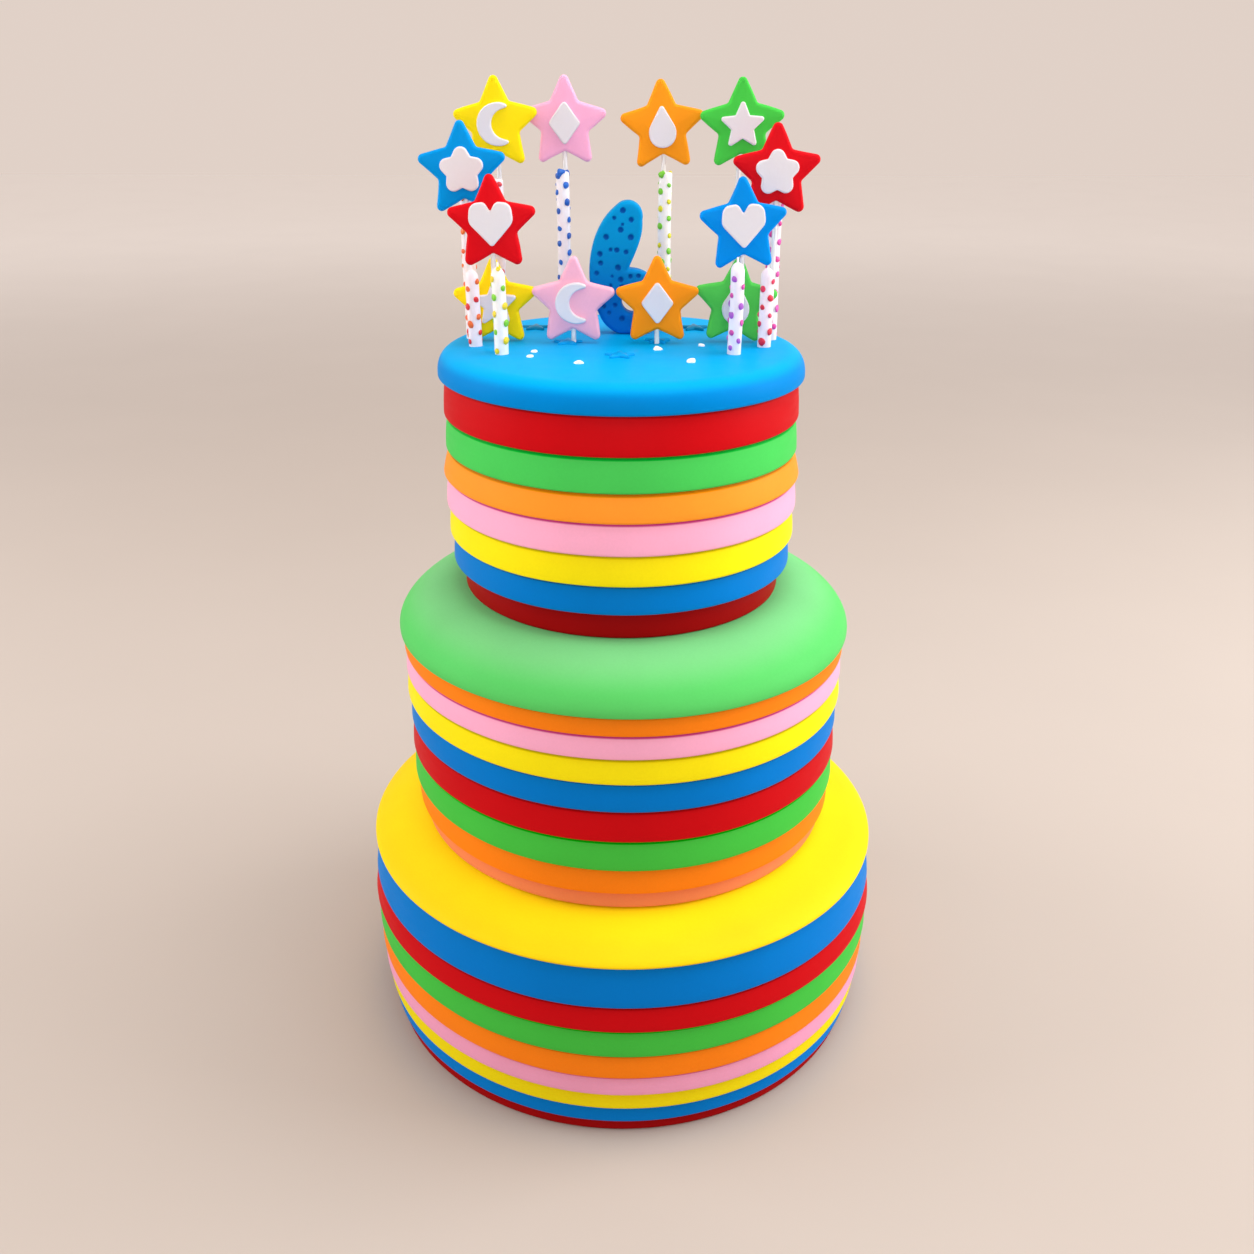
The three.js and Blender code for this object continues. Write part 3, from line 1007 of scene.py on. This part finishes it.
def candleBody(name, seed, material, look):
    low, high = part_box(name)
    length = high.z - low.z
    tall = isTall(low, high)
    taper = candleTaper(low, high)
    shoulder = length - taper
    radius, bevel = look["radius"], look["footBevel"]
    steps = max(6, int(shoulder / look["ringStep"]))
    heights = [(0, radius * 0.93), (bevel, radius)]
    heights += [(bevel + (shoulder - bevel) * i / steps, radius) for i in range(1, steps + 1)]
    top = look["tallTop" if tall else "shortTop"]
    heights += [(shoulder + taper * share, radius * width) for share, width in top]
    if not tall:
        wick = look["wick"]
        foot = length - look["wickLength"]
        heights += [(foot + 0.1 * mm, wick * 1.1), (foot + 0.9 * mm, wick)]
        heights += [(length - 0.25 * mm, wick), (length, wick * 0.55)]
    build = bmesh.new()
    rings = []
    for z, width in heights:
        flute = look["flute"] * min(1, width / radius)
        swayX, swayY = candleSway(z, seed)
        rings.append(addCircle(
            build, (low.x + high.x) / 2 + swayX, (low.y + high.y) / 2 + swayY, low.z + z, look["sides"],
            lambda turn: max(width + flute * math.cos(3 * turn - z * look["twist"] + seed), width * 0.5),
        ))
    for first, second in zip(rings, rings[1:]):
        bridge(build, first, second)
    build.faces.new(rings[0])
    build.faces.new(rings[-1])
    bmesh.ops.recalc_face_normals(build, faces=build.faces)
    mesh = meshFrom(build, name + "_look", material)
    smooth(mesh)
    return linkObject(name + "_look", mesh)


def joinPieces(first, second):
    # adds the second object's mesh, with its materials, to the first
    for material in second.data.materials:
        first.data.materials.append(material)
    build = bmesh.new()
    build.from_mesh(first.data)
    offset = len(first.data.materials) - len(second.data.materials)
    already = len(build.faces)
    build.from_mesh(second.data)
    build.faces.ensure_lookup_table()
    for face in build.faces[already:]:
        face.material_index += offset
    build.to_mesh(first.data)
    build.free()
    bpy.data.objects.remove(second)


def addTopDrop(body, low, high, drop, materialName):
    across, down, radius = (value * mm for value in drop)
    front = math.sqrt(max(0, candleLook["radius"] ** 2 - across ** 2)) * 0.85
    where = Vector(((low.x + high.x) / 2 + across, (low.y + high.y) / 2 - front, high.z - down))
    build = bmesh.new()
    build.from_mesh(body.data)
    already = len(build.verts)
    press = Matrix.Translation(where) @ Matrix.Diagonal((1, 0.5, 1, 1))
    bmesh.ops.create_icosphere(build, subdivisions=3, radius=radius, matrix=press)
    build.verts.ensure_lookup_table()
    number = body.data.materials.find(materialName)
    for vertex in build.verts[already:]:
        vertex.co += noise.noise_vector(vertex.co * 700) * radius * 0.35
        for face in vertex.link_faces:
            face.material_index = number
            face.smooth = True
    build.to_mesh(body.data)
    build.free()


def makeCandle(name, colours, seed):
    firstColour, secondColour, waxColour = colours
    low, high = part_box(name)
    body = candleBody(name, seed, makeWax(name + "Wax", waxColour), candleLook)
    reach = high.z - low.z - candleTaper(low, high) - socketDepth - candleLook["spotEnd"]
    start = socketDepth + candleLook["spotStart"]
    anchor = bpy.data.meshes.new("anchor")
    anchor.from_pydata([(0, 0, 0)], [], [])
    values = {
        "Count": 2 * int(reach / candleLook["spotPitch"] + 1),
        "Foot": ((low.x + high.x) / 2, (low.y + high.y) / 2, low.z + start),
        "Pitch": candleLook["spotPitch"],
        "Candle Radius": candleLook["radius"],
        "Spot Radius": candleLook["spotRadius"],
        "Rise": candleLook["spotRise"],
        "Wobble": candleLook["spotWobble"],
        "Seed": seed * 5 + 2,
        "First Colour": makeWax(name + "SpotA", firstColour),
        "Second Colour": makeWax(name + "SpotB", secondColour),
    }
    spots = grow(name + "_spots", anchor, spotTree, values)
    # the spots follow the candle's slight bends
    for vertex in spots.data.vertices:
        swayX, swayY = candleSway(vertex.co.z - low.z, seed)
        vertex.co.x += swayX
        vertex.co.y += swayY
    joinPieces(body, spots)
    if name in topDrops:
        addTopDrop(body, low, high, topDrops[name], name + "SpotA")
    finishPiece(body, "candle_wax", name)


for seed, (name, colours) in enumerate(candleSpots.items()):
    makeCandle(name, colours, seed)
print("candles made:", len(candleSpots))

# the numeral
numeralLook = {
    "bevel": 1.9 * mm,
    "thickness": 9 * mm,
    "voxel": 0.42 * mm,
    "dimpleDepth": 0.75 * mm,
    "bowl": (3.5, 14.6, 15.2),
    "hole": (5.2, 15.2, 5.4),
    "tip": (2.6, 53, 6.8),
    "crotch": (3.1, 30),
    # what pulls the curve between bowl and tip, and between tip and crotch
    "spine": ((-18.3, 22.5), (-17.1, 46)),
    "throat": ((9.8, 45), (6.5, 37)),
    "paste": (0, 140, 230),
    # painted light: the paste paler towards the top: lower colour, upper colour, the heights between
    # which they blend
    "fade": ((0, 107, 196), (0, 149, 213), 0.355, 0.4),
    # painted shade down in the dimples
    "dimplePaste": (2, 84, 168),
    # dimples on the front as (across, up, radius)
    "dimples": [
        (0.4, 55.8, 1.3), (4.1, 51.7, 1.2), (-3.4, 52.6, 0.9), (-0.6, 47.5, 1.3), (0.2, 49.8, 0.7),
        (-7.0, 44.2, 1.3), (3.9, 44.2, 1.4), (-5.0, 38.6, 0.9), (-2.2, 38.5, 1.2), (2.0, 37.6, 1.1),
        (-10.0, 36.7, 1.3), (-9.8, 32.6, 1.2), (-1.7, 30.6, 1.4), (-11.7, 28.1, 1.1), (-4.6, 26.6, 0.7),
        (-0.6, 25.3, 1.3), (3.8, 26.7, 1.0), (7.4, 27.0, 1.1), (-5.2, 22.6, 0.8), (0.0, 21.9, 1.2),
        (-3.3, 13.7, 1.1), (-5.9, 10.2, 0.9), (0.1, 7.4, 1.3), (-9.2, 19.4, 1.1), (-8.4, 13.2, 1.0),
        (13.1, 22.4, 1.2), (15.4, 15.1, 1.2), (12.6, 8.0, 1.1), (6.6, 4.6, 1.0),
    ],
}


def bezierPoints(start, first, second, end, steps):
    points = []
    for i in range(1, steps):
        t = i / steps
        s = 1 - t
        points.append(tuple(
            s ** 3 * start[k] + 3 * s * s * t * first[k] + 3 * s * t * t * second[k] + t ** 3 * end[k]
            for k in range(2)
        ))
    return points


def numeralOutlines(look):
    bowlX, bowlZ, bowlR = look["bowl"]
    tipX, tipZ, tipR = look["tip"]
    flat = math.asin(bowlZ / bowlR)
    points = cornerArc(bowlX, bowlZ, bowlR, math.radians(88), -flat, 28)
    points += cornerArc(bowlX, bowlZ, bowlR, flat - math.pi, math.radians(205 - 360), 8)
    tipArc = cornerArc(tipX, tipZ, tipR, math.radians(137), math.radians(-15), 18)
    points += bezierPoints(points[-1], *look["spine"], tipArc[0], 20)
    points += tipArc
    points += bezierPoints(points[-1], *look["throat"], look["crotch"], 14)
    points.append(look["crotch"])
    holeX, holeZ, holeR = look["hole"]
    hole = cornerArc(holeX, holeZ, holeR, 0, 2 * math.pi * 35 / 36, 35)
    return points, hole


def makeNumeralPaste(look):
    # the paste material with painted shade down in the dimples, and painted light paler towards the top
    material = makePaste("numeralPaste", look["paste"], roughness=0.5)
    paintTopLight(material, *look["fade"])
    tree = material.node_tree
    paintedDimpleShade = addNode(tree, "ShaderNodeAttribute", attribute_name="paintedDimpleShade").outputs["Fac"]
    tint = mixColours(paintedDimpleShade, tree.nodes["paste"].outputs["Colour"], paint(look["dimplePaste"]))
    feed(tree.nodes["Principled BSDF"], {"Base Color": tint})
    return material


def makeNumeral(look):
    low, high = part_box("numeral_six")
    middleX = high.x - (look["bowl"][0] + look["bowl"][2]) * mm
    place = Vector((middleX, (low.y + high.y) / 2, low.z))
    curve = bpy.data.curves.new("numeralOutline", "CURVE")
    curve.dimensions = "2D"
    curve.fill_mode = "BOTH"
    curve.extrude = look["thickness"] / 2 - look["bevel"]
    curve.bevel_depth = look["bevel"]
    curve.bevel_resolution = 3
    curve.offset = -look["bevel"]
    for loop in numeralOutlines(look):
        spline = curve.splines.new("POLY")
        spline.points.add(len(loop) - 1)
        for point, (x, z) in zip(spline.points, loop):
            point.co = (x * mm, z * mm, 0, 1)
        spline.use_cyclic_u = True
    flatObject = linkObject("numeralOutline", curve)
    mesh = evaluated(flatObject)
    bpy.data.objects.remove(flatObject)
    mesh.transform(Matrix.Rotation(math.pi / 2, 4, "X"))
    build = bmesh.new()
    build.from_mesh(mesh)
    bmesh.ops.remove_doubles(build, verts=build.verts, dist=1e-6)
    bmesh.ops.recalc_face_normals(build, faces=build.faces)
    build.to_mesh(mesh)
    build.free()
    obj = linkObject("numeral_six_look", mesh)
    remesh = obj.modifiers.new("remesh", "REMESH")
    remesh.mode = "VOXEL"
    remesh.voxel_size = look["voxel"]
    relax = obj.modifiers.new("relax", "SMOOTH")
    relax.factor = 0.5
    relax.iterations = 5
    fine = evaluated(obj)
    obj.modifiers.clear()
    obj.data = fine
    # press the dimples in, front and back
    draw = random.Random(6)
    backDimples = [(x + draw.uniform(-1, 1), z + draw.uniform(-1, 1), r) for x, z, r in look["dimples"]]
    # a mask for the painted shade down in each dimple
    mask = fine.attributes.new("paintedDimpleShade", "FLOAT", "POINT")
    shade = [0.0] * len(fine.vertices)
    for vertex in fine.vertices:
        spots = look["dimples"] if vertex.co.y < 0 else backDimples
        for x, z, r in spots:
            away = math.hypot(vertex.co.x - x * mm, vertex.co.z - z * mm) / (r * mm)
            if away < 1.15:
                facing = min(1, max(0, abs(vertex.co.y) / mm - 2.0))
                depth = max(0, 1 - away ** 3) * look["dimpleDepth"] * min(1, r) * facing
                vertex.co.y -= math.copysign(depth, vertex.co.y)
                shade[vertex.index] = max(shade[vertex.index], min(1, (1.1 - away) * 5) * facing)
    for i, value in enumerate(shade):
        mask.data[i].value = max(0, value)
    # hand-cut unevenness, and into place
    for vertex in fine.vertices:
        push = noise.noise_vector(vertex.co * 60) * 0.4 * mm
        push.z *= min(1, max(0, vertex.co.z / (4 * mm)))
        vertex.co += push + place
    smooth(fine)
    fine.materials.clear()
    fine.materials.append(makeNumeralPaste(look))
    finishPiece(obj, "paste_blue", "numeral_six")


makeNumeral(numeralLook)
print("numeral made")

# beads and flat stars on the cap
beadLook = {
    "height": 0.72,  # over the radius
    "wobble": 1.2 * mm,
    "beads": [
        (-39.1, -17.7, 1.65), (-40.0, -27.6, 1.75), (-18.6, -40, 2.0),
        (15.9, -11, 2.0), (36.0, -2.5, 1.7), (29.5, -36.6, 2.05),
    ],
}
flatStarLook = {
    "rise": 1.1 * mm,
    "deep": 0.8 * mm,
    "edge": 0.8 * mm,
    "dome": 0.3 * mm,
    "pastes": {"teal": (4, 118, 158), "sky": (0, 153, 221)},
    "stars": [
        (-41.9, 38.2, 7, "teal"), (34.8, 38.6, 7, "teal"), (-25.0, 3.3, 7, "sky"),
        (16.2, 7.4, 6, "sky"), (-1.2, -24.6, 7, "sky"),
    ],
}


def makeBeadTree():
    # a sugar bead on every point, sized by the point's own number
    tree, given, made = newGroup("sugarBeads", "GeometryNodeTree", {
        "Geometry": "Geometry", "Height": 0.7, "Wobble": 0.001, "Sugar": "Material",
    }, {"Geometry": "Geometry"})
    recall = addNode(tree, "GeometryNodeInputNamedAttribute", {"Name": "beadRadius"}, data_type="FLOAT")
    size = recall.outputs["Attribute"]
    ball = addNode(tree, "GeometryNodeMeshIcoSphere", {"Radius": 1, "Subdivisions": 4})
    press = addNode(tree, "GeometryNodeInstanceOnPoints", {
        "Points": given["Geometry"], "Instance": ball.outputs["Mesh"],
        "Scale": together(tree, X=size, Y=size, Z=times(size, given["Height"])),
    })
    shape = passOn(press.outputs["Instances"], "RealizeInstances")
    here = addNode(tree, "GeometryNodeInputPosition").outputs["Position"]
    lumps = lumpsOf(tree, given["Wobble"], {"Vector": here, "Scale": 350, "Detail": 0})
    shape = passOn(passOn(shape, "SetPosition", Offset=lumps), "SetShadeSmooth")
    feed(made, {"Geometry": passOn(shape, "SetMaterial", Material=given["Sugar"])})
    return tree


def makeBeads(look):
    mesh = bpy.data.meshes.new("beadPoints")
    mesh.from_pydata([(x * mm, y * mm, cakeTop) for x, y, radius in look["beads"]], [], [])
    sizes = mesh.attributes.new("beadRadius", "FLOAT", "POINT")
    for i, bead in enumerate(look["beads"]):
        sizes.data[i].value = bead[2] * mm
    values = {"Sugar": whitePaste, "Height": look["height"], "Wobble": look["wobble"]}
    obj = grow("beads", mesh, makeBeadTree(), values)
    finishPiece(obj, "candle_wax", "upper_cap_sky")


def makeFlatStars(look):
    gels = {}
    for colourName, colour in look["pastes"].items():
        gels[colourName] = makePaste(colourName + "Gel", colour, roughness=0.3, shine=0.06, grain=0.15)
    for number, (x, y, radius, colourName) in enumerate(look["stars"]):
        corners = starCorners(radius * mm, 0.5, radius * mm * 0.12, radius * mm * 0.08)
        build = slabMesh(corners, look["deep"], -look["rise"], look["edge"], look["dome"], edgeSteps=2)
        # lay it down: what faced the front now faces up
        build.transform(Matrix.Rotation(-math.pi / 2, 4, "X"))
        build.transform(Matrix.Translation((x * mm, y * mm, cakeTop)))
        mesh = meshFrom(build, "flatStar", gels[colourName])
        obj = linkObject(f"flat_star_{number + 1}", mesh)
        finishPiece(obj, "paste_sky", "upper_cap_sky")


makeBeads(beadLook)
makeFlatStars(flatStarLook)
print("beads and flat stars made")

# floor, light
stageLook = {
    "floor": (187, 177, 169),
    "farFloor": (255, 255, 255),
    "nearReach": 0.7,
    "farReach": 3.8,
    "cloudScale": 5,
    "cloudDepth": 0.05,
    "air": (230, 214, 204),
    "airStrength": 0.95,
    # name, place, aim, size, spread in degrees, watts, colour
    "lamps": [
        ("overhead", (0.55, -0.05, 1.85), (0, 0, 0.2), 1.4, 180, 17, (0.96, 0.985, 1.0)),
        ("rightSide", (1.35, 0.05, 0.75), (0, 0, 0.2), 1.0, 180, 15.5, (0.96, 0.985, 1.0)),
        ("leftSide", (-1.35, 0.0, 0.75), (0, 0, 0.2), 1.0, 180, 11, (0.96, 0.985, 1.0)),
        ("front", (0.0, -1.6, 1.1), (0, 0, 0.15), 1.2, 180, 2, (0.96, 0.985, 1.0)),
        ("toppers", (0.0, -0.95, 0.62), (0, 0, 0.42), 0.3, 28, 0.08, (0.97, 0.985, 1.0)),
    ],
}


def makeStage(look):
    build = bmesh.new()
    bmesh.ops.create_grid(build, x_segments=8, y_segments=8, size=6)
    material, tree, shader = newMaterial("plainFloor")
    place = objectPlace(tree)
    # paler further out, where less light falls
    reach = vectors("LENGTH", place)
    far = smoothStep(reach, look["nearReach"], look["farReach"])
    clouds = noiseAt(place, look["cloudScale"], 6)
    dim = times(clouds, -look["cloudDepth"])
    tint = addNode(tree, "ShaderNodeHueSaturation", {
        "Value": plus(dim, 1 + look["cloudDepth"] / 2),
        "Color": mixColours(far, paint(look["floor"]), paint(look["farFloor"])),
    })
    feed(shader, {"Base Color": tint.outputs["Color"], "Roughness": 0.8})
    floor = linkObject("floor", meshFrom(build, "floor", material))
    world = bpy.data.worlds.new("air")
    scene.world = world
    world.use_nodes = True
    air = world.node_tree.nodes["Background"]
    air.inputs["Color"].default_value = paint(look["air"])
    air.inputs["Strength"].default_value = look["airStrength"]
    for name, where, target, size, spread, watts, colour in look["lamps"]:
        data = bpy.data.lights.new(name, "AREA")
        data.size = size
        data.spread = math.radians(spread)
        data.energy = watts
        data.color = colour
        lamp = linkObject(name, data)
        lamp.location = where
        direction = Vector(target) - Vector(where)
        lamp.rotation_euler = direction.to_track_quat("-Z", "Y").to_euler()


makeStage(stageLook)
print("stage and lights made")
